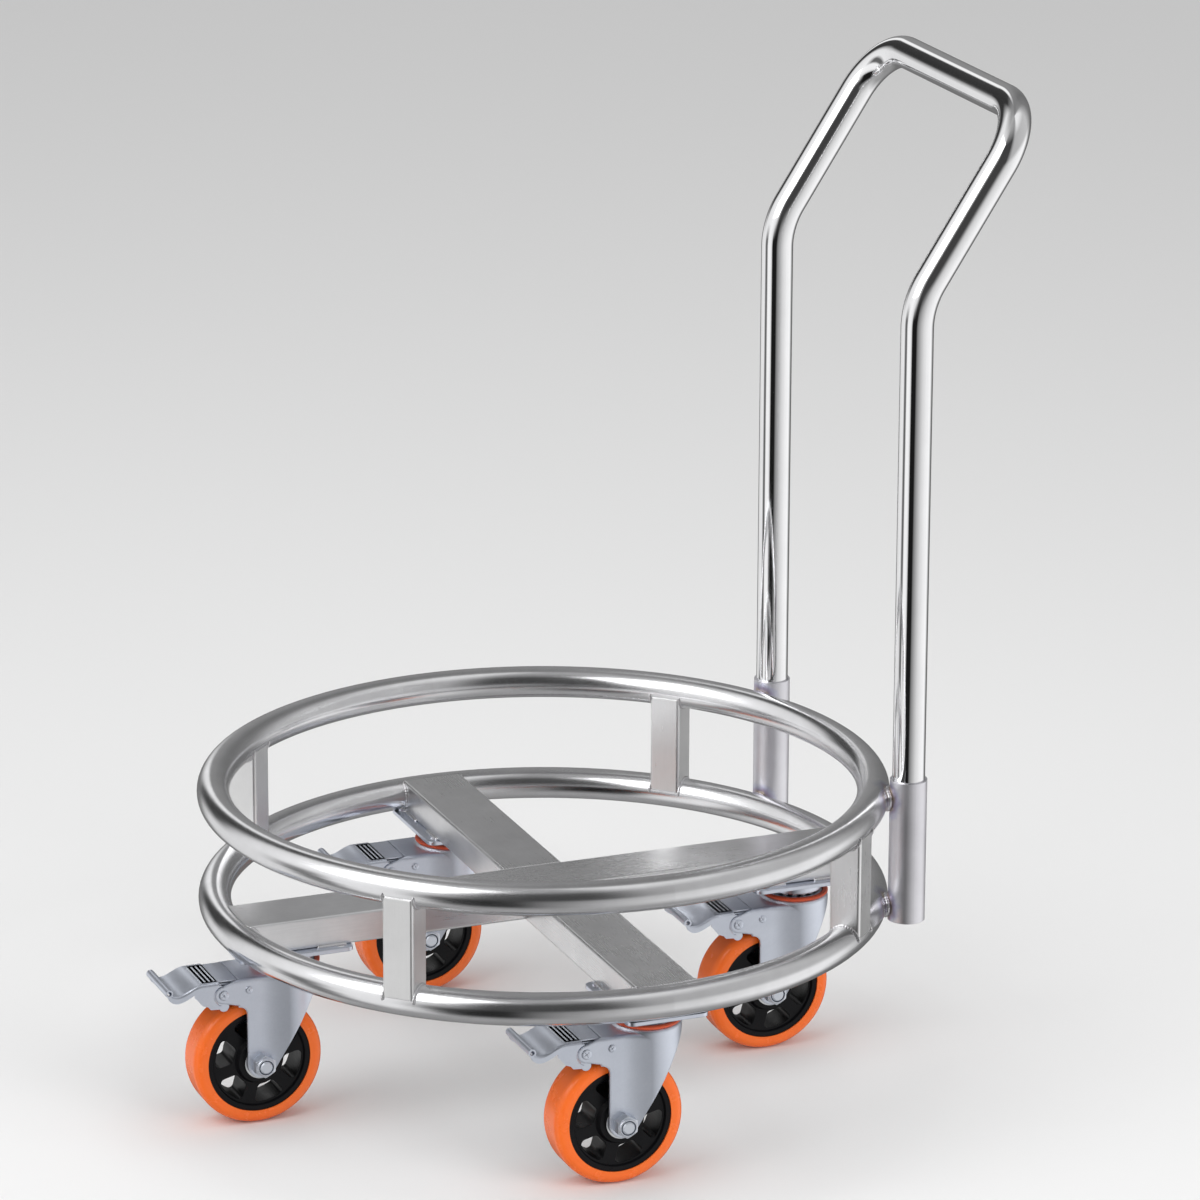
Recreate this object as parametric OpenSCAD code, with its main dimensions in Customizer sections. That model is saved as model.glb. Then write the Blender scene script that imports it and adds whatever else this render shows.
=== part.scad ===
// Round cylinder cart: two welded tube rings on four braked swivel casters, with a plug-in push handle.
// Millimetres. The floor is z = 0 and the push handle is at the back, +Y.
// The origin lies on the floor under the middle of the whole cart.

/* [Rings] */
// Outside diameter of both rings
ring_od = 540; // [500:1:600]
// Outside diameter of the ring tube
tube_d = 25.4; // [25.2:0.1:30]
// Wall of the ring tube
tube_wall = 1.5; // [1:0.1:2.5]
// Height between the rings, centre to centre
ring_pitch = 87.5; // [70:0.5:130]

/* [Posts and cross bars] */
// Side of the square posts between the rings
post_w = 25; // [20:0.5:25]
// Wall of the posts
post_wall = 1.5; // [1:0.1:2.5]
// Angle of the posts from the side casters
post_angle = 45; // [38:1:52]
// Width of the cross bars
bar_w = 50; // [40:1:60]
// Height of the cross bars
bar_h = 25; // [20:0.5:25]
// Wall of the cross bars
bar_wall = 1.5; // [1:0.1:2.5]
// Outside corner radius of the posts and cross bars
box_r = 2; // [1:0.1:2.4]

/* [Handle] */
// Distance between the handle legs, centre to centre
leg_gap = 268; // [220:1:300]
// Outside diameter of the handle tube
handle_d = 25.4; // [22:0.1:28]
// Wall of the handle tube
handle_wall = 1.5; // [1:0.1:2.5]
// Height from the socket mouth to the point where the legs lean back
knee_rise = 380; // [250:1:500]
// Lean of the upper handle from upright, in degrees
lean = 33; // [20:1:45]
// Length of the leaning part, knee to grip
lean_len = 167; // [150:1:240]
// Bend radius of the knees
knee_r = 66; // [50:1:90]
// Bend radius of the grip corners
corner_r = 45; // [35:1:60]

/* [Handle sockets] */
// Length of the sockets
socket_len = 115; // [95:1:140]
// Wall of the sockets
socket_wall = 1.7; // [1.2:0.1:3]
// Radial running clearance of the handle in its sockets
plug_fit = 0.1; // [0.05:0.01:0.1]
// Height of the socket foot above the underside of the lower ring
socket_lift = 2; // [0:0.5:6]
// Thickness of the stop disc in the foot of each socket
stop_t = 2; // [1.5:0.1:3]

/* [Caster plate and swivel] */
// Distance from the outside of the ring to the kingpin
caster_inset = 55.5; // [50:0.5:70]
// Length of the caster plate, along its bar
plate_len = 92; // [84:1:100]
// Width of the caster plate
plate_w = 66; // [58:1:72]
// Thickness of the caster plate
plate_t = 3; // [2.5:0.1:4]
// Corner radius of the plate
plate_r = 6; // [3:0.5:9]
// Depth of the pressed upper race below the plate
race_h = 8.5; // [6:0.1:12]
// Outside radius of the upper race
race_r = 22; // [21.5:0.1:23]
// Diameter of the swivel balls
ball_d = 6; // [5:0.1:6.5]
// Radius of the ball circle
ball_ring_r = 17; // [15:0.1:17.5]
// Diameter of the kingpin
kingpin_d = 12; // [10:0.1:14]
// Radial running clearance of the kingpin and the pedal pin
swivel_fit = 0.05; // [0.03:0.01:0.1]
// Gap between the upper race and the fork crown
ball_gap = 2.5; // [2:0.1:3]

/* [Fork] */
// Width of the fork over its legs
fork_w = 46; // [45:0.5:50]
// Thickness of the fork steel
fork_t = 2.5; // [2:0.1:2.8]
// Radius of the round drum at the swivel
drum_r = 27; // [26.5:0.1:28]
// Radius of the fork legs round the axle
leg_end_r = 11.5; // [10.5:0.1:13]
// Distance that the wheel trails behind the kingpin
trail = 27; // [25:0.5:30]
// Height of the gap between tyre and fork roof
wheel_gap = 17; // [16:0.5:20]
// Height of the drum shoulder above the fork roof
shoulder_h = 2.5; // [2:0.1:4]
// Height of the ball seat above the drum shoulder
seat_h = 2; // [1.5:0.1:3]

/* [Wheel] */
// Diameter of the wheel
wheel_d = 104; // [100:1:108]
// Width of the tyre
tyre_w = 32; // [28:0.5:33]
// Depth of the tyre, tread to core
tyre_t = 10.5; // [9:0.5:12]
// Shoulder radius of the tyre
tyre_r = 7; // [3:0.5:8]
// Radius of the hub boss
boss_r = 19; // [17:0.5:20]
// Thickness of the core rim
rim_t = 5; // [4:0.5:6]
// Width of the spokes
spoke_w = 10; // [6:0.5:11]
// Number of spokes
spokes = 6; // [5:1:8]
// Outside diameter of the wheel bearings
bearing_d = 26; // [24:0.5:28]
// Width of one wheel bearing
bearing_w = 8; // [7:0.5:9]
// Diameter of the axle bolt
axle_d = 10; // [8:0.5:10]
// Width across the flats of the axle bolt and nut
hex_af = 16; // [15:0.5:17]

/* [Brake] */
// Distance from the kingpin to the pedal pin
pedal_pin_y = 57.5; // [56:0.5:60]
// Depth of the pedal pin below the fork roof
pedal_pin_drop = 11; // [10:0.5:12]
// Diameter of the pedal pin
pedal_pin_d = 6; // [5:0.1:7]
// Width of the pedal
pedal_w = 48; // [47:0.5:52]
// Thickness of the pedal steel
pedal_t = 2; // [1.6:0.1:2.4]
// Reach of the pedal tip from the pedal pin
pedal_reach = 48; // [44:1:52]
// Travel of the pedal, in degrees
pedal_travel = 18; // [12:1:18]
// Gap left between the brake cam and the tread when the pedal is down
brake_gap = 0.3; // [0.3:0.1:1]

/* [Hidden] */
$fn = 64;
CASTERS = ["front", "rear", "left", "right"];
CASTER_PARTS = ["fork", "dust_ring", "axle_bolt", "axle_nut", "bearings", "hub", "tyre", "brake_pedal",
    "brake_cam", "fork_pins"];
POSTS = ["front_left", "front_right", "rear_left", "rear_right"];

// Colours as the object shows them
tube_steel = [0.80, 0.81, 0.82];
zinc_steel = [0.76, 0.79, 0.83];
tyre_orange = [0.98, 0.42, 0.12];
core_black = [0.07, 0.07, 0.08];
seal_orange = [0.85, 0.25, 0.12];

// Gap between faces of pieces that move past each other
running_gap = 0.3;
// Overshoot of cuts past the faces that they open
over = 1;

// Caster heights, from the floor up
axle_z = wheel_d / 2;
roof_z = wheel_d + wheel_gap;
fork_top = roof_z + fork_t;
shoulder_z = fork_top + shoulder_h;
crown_z = shoulder_z + seat_h;
race_z = crown_z + ball_gap;
plate_z = race_z + race_h;
caster_h = plate_z + plate_t;

// Rings and bars, all resting on the caster plates. The posts start a little above the lower ring's
// middle, where their saddle cut begins, and the bars end a little inside the ring's middle line.
ring_r = (ring_od - tube_d) / 2;
low_z = caster_h + tube_d / 2;
bar_z = caster_h + bar_h / 2;
high_z = low_z + ring_pitch;
kingpin_r = ring_od / 2 - caster_inset;
post_foot = 4;
bar_end = ring_r - 3;

// Sockets and handle, with the legs just outside the rings
socket_bore = handle_d + 2 * plug_fit;
socket_od = socket_bore + 2 * socket_wall;
leg_x = leg_gap / 2;
leg_y = sqrt(pow(ring_od / 2 + running_gap + socket_od / 2, 2) - leg_x * leg_x);
socket_z = low_z - tube_d / 2 + socket_lift;
mouth_z = socket_z + socket_len;
knee_z = mouth_z + knee_rise;
leg_foot_z = socket_z + stop_t + running_gap;
knee_tangent = knee_r * tan(lean / 2);
joint_len = 1;
joint_gap = 0.1;
joint_skin = 0.05;
weld_r = 3.5;
weld_len = 18;
stop_hole_d = 6;

// Swivel bearing
balls = 16;
groove_r = ball_d / 2 + 0.25;
ball_z = crown_z + ball_gap / 2;
kingpin_head_r = 13;
kingpin_head_h = 6.5;
kingpin_chamfer = 3;
seal_in_r = race_r + 0.7;
seal_h = 2.6;
seal_chamfer = 0.8;
slot_w = 9;
slot_len = 13;
slot_end_edge = 9;
slot_side_edge = 10.5;
slot_gap_long = plate_len - 2 * slot_end_edge;
slot_gap_wide = plate_w - 2 * slot_side_edge;

// Fork side view, in y and z from the kingpin and the floor
fork_in = fork_w / 2 - fork_t;
fork_back = drum_r - 1;
roof_setback = 12.5;
roof_front_y = roof_setback - pedal_pin_y;
arm_r = 7;
arm_root_z = fork_top - 22.5;
arm_fillet = 7;
bend_r = 3;
inner_bend_r = 1.1;
leg_front_y = -trail - leg_end_r;
pin_y = -pedal_pin_y;
pin_z = fork_top - pedal_pin_drop;
stop_pin_y = pin_y + 20.5;
stop_pin_z = pin_z + 2;
stop_pin_d = 4;
rivet_lip = 1;
rivet_head_t = 0.7;

// Wheel
core_r = wheel_d / 2 - tyre_t;
key_w = 10;
key_t = 2;
rim_w = tyre_w - 2;
boss_proud = 2;
web_sunk = 2;
boss_w = rim_w + 2 * boss_proud;
web_w = rim_w - 2 * web_sunk;
bearing_face = fork_in - 2 * running_gap;
bearing_bore = axle_d + 2 * swivel_fit;
bearing_ring_t = 2;
shield_depth = 0.6;
hub_bore_r = bearing_bore / 2 + 3;
window_r = 3.5;
window_margin = 1.5;
window_phase = 15;
nut_h = 8;
head_h = 6.4;
bolt_end = 2.5;
hex_chamfer = 1.2;

// Pedal side view: heights above and distances in front of the pedal pin
pedal_top = fork_top - pin_z;
pedal_back = 11.5;
flat_len = 0.36 * pedal_reach;
valley_len = 0.78 * pedal_reach;
valley_depth = 6.5;
lip_r = 2.2;
flange_h = 6;
ear_x = fork_in - 2 * running_gap;
ear_t = 2;
cut_r = arm_r + 1.5;
flange_x = pedal_w / 2;
ribs = 4;
rib_h = 0.8;
rib_gap = 3.6;
rib_start = 6;
rib_inset = 5;
cam_w = 2 * (ear_x - ear_t);

// The brake cam touches down along the line from the pedal pin to the axle
pin_to_axle = norm([pin_y + trail, pin_z - axle_z]);
down_angle = atan2(axle_z - pin_z, -trail - pin_y);
cam_reach = pin_to_axle - wheel_d / 2 - brake_gap;
cam_r = 4;
cam_root = arm_r - 1.6;
cam_tip = cam_r - 0.5;
cam_angle = down_angle - pedal_travel;

// The middle of the cart's length lies over the origin
front_y = -(kingpin_r + pedal_pin_y + pedal_reach);
back_y = leg_y + lean_len * sin(lean) + handle_d / 2;
mid_y = (front_y + back_y) / 2;

function polar(r, a) = [r * cos(a), r * sin(a)];

// Point where a line from p touches the lower right of a circle round c
function touch(p, c, r) = c + polar(r, atan2(p.y - c.y, p.x - c.x) - acos(r / norm(p - c)));

module pipe_section(d, wall) {
    difference() {
        circle(d = d);
        circle(d = d - 2 * wall);
    }
}

module pipe(d, wall, len) {
    linear_extrude(len) pipe_section(d, wall);
}

module pipe_bend(d, wall, r, angle) {
    rotate_extrude(angle = angle, $fn = 96) translate([r, 0]) pipe_section(d, wall);
}

module box_section(w, h, wall) {
    difference() {
        rounded_rect(w, h, box_r);
        square([w - 2 * wall, h - 2 * wall], center = true);
    }
}

// Extrudes an outline drawn in y and z along X, centred
module across(w) {
    rotate([90, 0, 90]) linear_extrude(w, center = true) children();
}

// Extrudes an outline drawn in y and z along X, between two distances on both sides
module both_sides(x_in, x_out) {
    for (s = [-1, 1]) {
        translate([s * (x_in + x_out) / 2, 0, 0]) across(x_out - x_in) children();
    }
}

// Turns a shape made along Z to lie along X
module along_x() {
    rotate([0, 90, 0]) children();
}

module rounded_rect(w, l, r) {
    square([w, l - 2 * r], center = true);
    square([w - 2 * r, l], center = true);
    for (sx = [-1, 1], sy = [-1, 1]) {
        translate([sx * (w / 2 - r), sy * (l / 2 - r)]) circle(r = r);
    }
}

module ring_body(z) {
    translate([0, 0, z]) rotate_extrude($fn = 128) translate([ring_r, 0]) circle(d = tube_d);
}

module ring(z) {
    color(tube_steel) translate([0, 0, z]) rotate_extrude($fn = 128) translate([ring_r, 0])
        pipe_section(tube_d, tube_wall);
}

module post(angle) {
    color(tube_steel) difference() {
        rotate(angle) translate([ring_r, 0, low_z + post_foot])
            linear_extrude(ring_pitch - 2 * post_foot) box_section(post_w, post_w, post_wall);
        ring_body(low_z);
        ring_body(high_z);
    }
}

module cross_bar(from_y, to_y) {
    color(tube_steel) difference() {
        translate([0, from_y, bar_z]) rotate([-90, 0, 0])
            linear_extrude(to_y - from_y) box_section(bar_w, bar_h, bar_wall);
        ring_body(low_z);
    }
}

// Weld between a socket and one ring, laid along the ring where the two tubes touch
module socket_weld(z) {
    toward_ring = atan2(leg_y, leg_x);
    rotate(toward_ring) translate([ring_od / 2, 0, z]) rotate([90, 0, 0])
        cylinder(r = weld_r, h = weld_len, center = true);
}

module handle_socket(side) {
    mirror([side < 0 ? 1 : 0, 0, 0]) color(tube_steel) difference() {
        union() {
            translate([leg_x, leg_y, socket_z]) cylinder(d = socket_od, h = socket_len);
            socket_weld(low_z);
            socket_weld(high_z);
        }
        translate([leg_x, leg_y, socket_z - over]) cylinder(d = socket_bore, h = socket_len + 2 * over);
        ring_body(low_z);
        ring_body(high_z);
    }
}

module socket_stops() {
    color(tube_steel) for (s = [-1, 1]) {
        translate([s * leg_x, leg_y, socket_z]) difference() {
            cylinder(d = socket_bore, h = stop_t);
            translate([0, 0, -over]) cylinder(d = stop_hole_d, h = stop_t + 2 * over);
        }
    }
}

// The handle is one bent tube, drawn in stretches a hair apart. This short tube, a hair inside its two
// faces, closes each place where two stretches meet.
module tube_joint() {
    difference() {
        cylinder(r = handle_d / 2 - joint_skin, h = joint_len, center = true);
        cylinder(r = handle_d / 2 - handle_wall + joint_skin, h = joint_len + over, center = true);
    }
}

// Straight stretch of the handle from the origin up, joined to a bend at each end
module handle_straight(len) {
    translate([0, 0, joint_gap]) pipe(handle_d, handle_wall, len - 2 * joint_gap);
    tube_joint();
    translate([0, 0, len]) tube_joint();
}

module handle_side() {
    leg_top = knee_z - knee_tangent;
    translate([leg_x, leg_y, leg_foot_z]) pipe(handle_d, handle_wall, leg_top - joint_gap - leg_foot_z);
    translate([leg_x, leg_y, leg_top]) tube_joint();
    translate([leg_x, leg_y + knee_r, leg_top]) rotate([90, 0, -90])
        pipe_bend(handle_d, handle_wall, knee_r, lean);
    translate([0, leg_y, knee_z]) rotate([-lean, 0, 0]) {
        translate([leg_x, 0, knee_tangent]) handle_straight(lean_len - corner_r - knee_tangent);
        translate([leg_x - corner_r, 0, lean_len - corner_r]) rotate([90, 0, 0])
            pipe_bend(handle_d, handle_wall, corner_r, 90);
    }
}

module handle_tube() {
    color(tube_steel) {
        handle_side();
        mirror([1, 0, 0]) handle_side();
        translate([0, leg_y, knee_z]) rotate([-lean, 0, 0])
            translate([corner_r - leg_x, 0, lean_len]) along_x() handle_straight(leg_gap - 2 * corner_r);
    }
}

// Caster pieces are drawn with the kingpin on the Z axis, the wheel and pedal towards -Y

// The plate lies with its long side along the bar above it
module caster_plate(turn) {
    color(zinc_steel) difference() {
        union() {
            translate([0, 0, plate_z]) rotate(turn) linear_extrude(plate_t)
                rounded_rect(plate_w, plate_len, plate_r);
            translate([0, 0, race_z]) cylinder(r = race_r, h = race_h);
        }
        translate([0, 0, race_z - over]) cylinder(d = kingpin_d, h = race_h + plate_t + 2 * over);
        translate([0, 0, ball_z]) rotate_extrude() translate([ball_ring_r, 0])
            circle(r = groove_r, $fn = 32);
        for (sx = [-1, 1], sy = [-1, 1]) {
            rotate(turn) translate([sx * slot_gap_wide / 2, sy * slot_gap_long / 2, plate_z - over])
                linear_extrude(plate_t + 2 * over) plate_slot();
        }
    }
}

module plate_slot() {
    square([slot_len - slot_w, slot_w], center = true);
    for (s = [-1, 1]) {
        translate([s * (slot_len - slot_w) / 2, 0]) circle(d = slot_w, $fn = 32);
    }
}

module kingpin() {
    color(zinc_steel) rotate_extrude() polygon([
        [0, roof_z - running_gap - kingpin_head_h],
        [kingpin_head_r - kingpin_chamfer, roof_z - running_gap - kingpin_head_h],
        [kingpin_head_r, roof_z - running_gap - kingpin_head_h + kingpin_chamfer],
        [kingpin_head_r, roof_z - running_gap],
        [kingpin_d / 2, roof_z - running_gap],
        [kingpin_d / 2, caster_h],
        [0, caster_h]]);
}

module ball_set() {
    color(zinc_steel) for (i = [0 : balls - 1]) {
        rotate(i * 360 / balls) translate([ball_ring_r, 0, ball_z]) sphere(d = ball_d, $fn = 24);
    }
}

module dust_ring() {
    color(seal_orange) translate([0, 0, shoulder_z]) rotate_extrude() polygon([
        [seal_in_r, 0],
        [drum_r - seal_chamfer, 0],
        [drum_r, seal_chamfer],
        [drum_r, seal_h - seal_chamfer],
        [drum_r - seal_chamfer, seal_h],
        [seal_in_r + seal_chamfer, seal_h],
        [seal_in_r, seal_h - seal_chamfer]]);
}

// Outline of the fork seen from the side
module fork_side() {
    axle = [-trail, axle_z];
    shoulder = [fork_back, fork_top];
    translate(axle) circle(r = leg_end_r);
    polygon([
        [leg_front_y, axle_z],
        axle,
        touch(shoulder, axle, leg_end_r),
        shoulder,
        [leg_front_y, fork_top]]);
    polygon([
        [pin_y, pin_z - arm_r],
        [leg_front_y, arm_root_z],
        [-trail, arm_root_z],
        [-trail, fork_top],
        [roof_front_y, fork_top],
        [pin_y, pin_z + arm_r]]);
    translate([pin_y, pin_z]) circle(r = arm_r);
    difference() {
        translate([leg_front_y - arm_fillet, arm_root_z - arm_fillet])
            square([arm_fillet + over, arm_fillet + 2 * over]);
        translate([leg_front_y - arm_fillet, arm_root_z - arm_fillet]) circle(r = arm_fillet);
    }
    translate([-drum_r - over, fork_top - over]) square([2 * (drum_r + over), crown_z - fork_top + 2 * over]);
}

// Arch with rounded top corners, drawn in x and z
module arch(w, h, r) {
    translate([-w / 2, 0]) square([w, h - r]);
    translate([-w / 2 + r, 0]) square([w - 2 * r, h]);
    for (s = [-1, 1]) {
        translate([s * (w / 2 - r), h - r]) circle(r = r, $fn = 32);
    }
}

// Half outline of the round drum, with a rounded shoulder and the raised ball seat
module drum_half(r, h, corner) {
    square([r, h - corner]);
    square([r - corner, h]);
    translate([r - corner, h - corner]) circle(r = corner, $fn = 32);
}

module fork_outside() {
    front_len = pedal_pin_y + arm_r + over;
    rotate([90, 0, 0]) linear_extrude(front_len) arch(fork_w, fork_top, bend_r);
    rotate_extrude() drum_half(drum_r, shoulder_z, bend_r);
}

module fork_inside() {
    front_len = pedal_pin_y + arm_r + 2 * over;
    translate([0, over, -over]) rotate([90, 0, 0]) linear_extrude(front_len + over)
        arch(2 * fork_in, roof_z + over, inner_bend_r);
    translate([0, 0, -over]) cylinder(r = drum_r - fork_t, h = roof_z + over);
    translate([-fork_in, -front_len - over, roof_z - bend_r])
        cube([2 * fork_in, front_len + over + roof_front_y, bend_r + fork_t + over]);
}

module fork() {
    color(zinc_steel) difference() {
        union() {
            intersection() {
                difference() {
                    fork_outside();
                    fork_inside();
                }
                across(4 * fork_w) fork_side();
            }
            translate([0, 0, roof_z]) cylinder(r = race_r, h = crown_z - roof_z);
        }
        translate([0, 0, roof_z - over]) cylinder(d = kingpin_d + 2 * swivel_fit, h = crown_z);
        translate([0, 0, ball_z]) rotate_extrude() translate([ball_ring_r, 0])
            circle(r = groove_r, $fn = 32);
        translate([-fork_w, -trail, axle_z]) along_x() cylinder(d = axle_d, h = 2 * fork_w);
        translate([-fork_w, pin_y, pin_z]) along_x() cylinder(d = pedal_pin_d, h = 2 * fork_w);
        translate([-fork_w, stop_pin_y, stop_pin_z]) along_x() cylinder(d = stop_pin_d, h = 2 * fork_w);
    }
}

// Rivet across the fork with a flat domed head on each side
module fork_rivet(d, y, z) {
    reach = fork_w / 2;
    color(zinc_steel) translate([0, y, z]) along_x() rotate_extrude($fn = 48) polygon([
        [0, -reach - rivet_head_t],
        [d / 2, -reach - rivet_head_t],
        [d / 2 + rivet_lip, -reach - rivet_head_t / 2],
        [d / 2 + rivet_lip, -reach],
        [d / 2, -reach],
        [d / 2, reach],
        [d / 2 + rivet_lip, reach],
        [d / 2 + rivet_lip, reach + rivet_head_t / 2],
        [d / 2, reach + rivet_head_t],
        [0, reach + rivet_head_t]]);
}

module fork_pins() {
    fork_rivet(pedal_pin_d, pin_y, pin_z);
    fork_rivet(stop_pin_d, stop_pin_y, stop_pin_z);
}

// Wheel pieces, made round Z and turned onto the axle
module on_axle() {
    translate([0, -trail, axle_z]) along_x() children();
}

// Hexagon with its outer corners turned off
module hex_prism(h) {
    point_r = hex_af / 2 / cos(30);
    cone_r = hex_af / 2 - hex_chamfer / 4;
    intersection() {
        cylinder(r = point_r, h = h, $fn = 6);
        rotate_extrude($fn = 48) polygon([
            [0, 0],
            [point_r + over, 0],
            [point_r + over, h - hex_chamfer],
            [cone_r, h],
            [0, h]]);
    }
}

// Bolt with its head on the left and a chamfered end past the nut on the right
module axle_bolt() {
    end_chamfer = 1;
    color(zinc_steel) on_axle() {
        translate([0, 0, -fork_w / 2]) cylinder(d = axle_d, h = fork_w + nut_h + bolt_end - end_chamfer);
        translate([0, 0, fork_w / 2 + nut_h + bolt_end - end_chamfer])
            cylinder(d1 = axle_d, d2 = axle_d - 2 * end_chamfer, h = end_chamfer);
        translate([0, 0, -fork_w / 2]) mirror([0, 0, 1]) hex_prism(head_h);
    }
}

module axle_nut() {
    color(zinc_steel) on_axle() translate([0, 0, fork_w / 2]) difference() {
        hex_prism(nut_h);
        translate([0, 0, -over]) cylinder(d = axle_d, h = nut_h + 2 * over);
    }
}

// Half outline of one bearing with a sunk shield between its rings
module bearing_half() {
    depth = (bearing_d - bearing_bore) / 2;
    difference() {
        translate([bearing_bore / 2, 0]) square([depth, bearing_w]);
        translate([bearing_bore / 2 + bearing_ring_t, bearing_w - shield_depth])
            square([depth - 2 * bearing_ring_t, shield_depth + over]);
    }
}

module bearings() {
    color(zinc_steel) on_axle() for (s = [0, 1]) {
        mirror([0, 0, s]) translate([0, 0, bearing_face - bearing_w]) rotate_extrude() bearing_half();
    }
}

// Half outline of the core: boss, thinner web and rim with the tyre's keyway, with sloped steps
module hub_half() {
    web = web_w / 2;
    boss_step = boss_w / 2 - web;
    rim_step = rim_w / 2 - web;
    difference() {
        polygon(concat(
            hub_face(1, web, boss_step, rim_step),
            hub_face(-1, web, boss_step, rim_step)));
        translate([core_r - key_t, -key_w / 2]) square([key_t + over, key_w]);
        translate([0, -boss_w]) square([hub_bore_r, 2 * boss_w]);
        for (s = [0, 1]) {
            mirror([0, s]) translate([0, bearing_face - bearing_w]) square([bearing_d / 2, bearing_w]);
        }
    }
}

// One face of the core, listed outwards for the face at +X and inwards for the other
function hub_face(side, web, boss_step, rim_step) = let (
    line = [
        [0, web + boss_step],
        [boss_r - boss_step / 2, web + boss_step],
        [boss_r, web],
        [core_r - rim_t, web],
        [core_r - rim_t + rim_step / 2, web + rim_step],
        [core_r, web + rim_step]])
    side > 0 ? line : [for (i = [len(line) - 1 : -1 : 0]) [line[i].x, -line[i].y]];

// Points on an arc round c, without its first point
function arc(c, r, from, to, n) = [for (i = [1 : n]) c + polar(r, from + (to - from) * i / n)];

// Upper half of the outline of one window, which lies round the +X axis between two spokes
function half_window() = let (
    half = 180 / spokes,
    r_in = boss_r + window_margin,
    r_out = core_r - rim_t - window_margin,
    side = spoke_w / 2 + window_r,
    a_in = half - asin(side / (r_in + window_r)),
    a_out = half - asin(side / (r_out - window_r)))
    concat(
        [[r_out, 0]],
        arc([0, 0], r_out, 0, a_out, 4),
        arc(polar(r_out - window_r, a_out), window_r, a_out, half + 90, 5),
        [polar(r_in + window_r, a_in) + polar(window_r, half + 90)],
        arc(polar(r_in + window_r, a_in), window_r, half + 90, a_in + 180, 4),
        arc([0, 0], r_in, a_in, 0, 3));

module hub_window() {
    upper = half_window();
    lower = [for (i = [len(upper) - 2 : -1 : 1]) [upper[i].x, -upper[i].y]];
    polygon(concat(upper, lower));
}

module hub() {
    color(core_black) on_axle() difference() {
        rotate_extrude() hub_half();
        for (i = [0 : spokes - 1]) {
            rotate(window_phase + i * 360 / spokes) linear_extrude(boss_w, center = true) hub_window();
        }
    }
}

// Half outline of the tyre: rounded tread and the key that holds it in the core
module tyre_half() {
    out = wheel_d / 2;
    translate([core_r - key_t, -key_w / 2]) square([key_t + over, key_w]);
    intersection() {
        translate([core_r, -tyre_w]) square([2 * tyre_t, 2 * tyre_w]);
        union() {
            translate([core_r - over, -tyre_w / 2]) square([tyre_t - tyre_r + over, tyre_w]);
            translate([core_r - over, tyre_r - tyre_w / 2]) square([tyre_t + over, tyre_w - 2 * tyre_r]);
            for (s = [-1, 1]) {
                translate([out - tyre_r, s * (tyre_w / 2 - tyre_r)]) circle(r = tyre_r);
            }
        }
    }
}

module tyre() {
    color(tyre_orange) on_axle() rotate_extrude() tyre_half();
}

// Pedal pieces are drawn with the pedal pin at y = 0, z = 0 of their outlines
module at_pin() {
    translate([0, pin_y, pin_z]) children();
}

// Height of the pedal's upper face, u in front of the pin: flat, down into a valley, up to the lip
function face_h(u) =
    u < flat_len ? pedal_top :
    u < valley_len ?
        pedal_top - valley_depth * (1 - cos(180 * (u - flat_len) / (valley_len - flat_len))) / 2 :
    pedal_top - valley_depth * cos(90 * (u - valley_len) / (pedal_reach - valley_len));

// Point on the face line, or drop below it at a right angle to the sheet
function face_point(u, drop) = let (
    step = 0.1,
    rise = atan2(face_h(u + step) - face_h(u - step), 2 * step))
    [-u + drop * sin(rise), face_h(u) - drop * cos(rise)];

FACE_STEPS = [for (i = [0 : 12]) flat_len + (pedal_reach - lip_r - flat_len) * i / 12];

// Sheet of the pedal seen from the side, from the distance u to the lip
module pedal_sheet(u) {
    stops = concat([u], FACE_STEPS);
    last = len(stops) - 1;
    polygon(concat(
        [for (i = [0 : last]) face_point(stops[i], 0)],
        [for (i = [last : -1 : 0]) face_point(stops[i], pedal_t)]));
}

// Depth of the outer flange, which stays deep until it rounds off at the lip
function flange_depth(u) =
    flange_h * sqrt(1 - pow(max(0, u - valley_len) / (pedal_reach - valley_len), 4));

// Outer flange: follows the sheet, with a lobe below and a round cut clear of the fork arm
module pedal_flange() {
    stops = concat([0], FACE_STEPS);
    last = len(stops) - 1;
    difference() {
        union() {
            polygon(concat(
                [for (u = stops) [-u, face_h(u) - pedal_t / 4]],
                [for (i = [last : -1 : 0]) [-stops[i], face_h(stops[i]) - flange_depth(stops[i])]]));
            polygon([
                [0, pedal_top - pedal_t],
                [-flat_len - 6, pedal_top - pedal_t],
                [-flat_len - 6, 1],
                [-flat_len - 4.5, -0.5],
                [-flat_len, -6],
                [-cut_r - 4.5, -7.5],
                [-cut_r - 2.5, -cut_r - 1.5],
                [-cut_r / 2, -cut_r - 2],
                [-2, -cut_r]]);
        }
        circle(r = cut_r);
        translate([-2, -2 * cut_r]) square([2 * cut_r, 2 * cut_r + pedal_top - pedal_t]);
    }
}

module pedal_ear() {
    difference() {
        union() {
            circle(r = arm_r);
            translate([-arm_r, 0]) square([2 * arm_r, pedal_top - pedal_t / 2]);
        }
        circle(d = pedal_pin_d + 2 * swivel_fit);
    }
}

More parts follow.
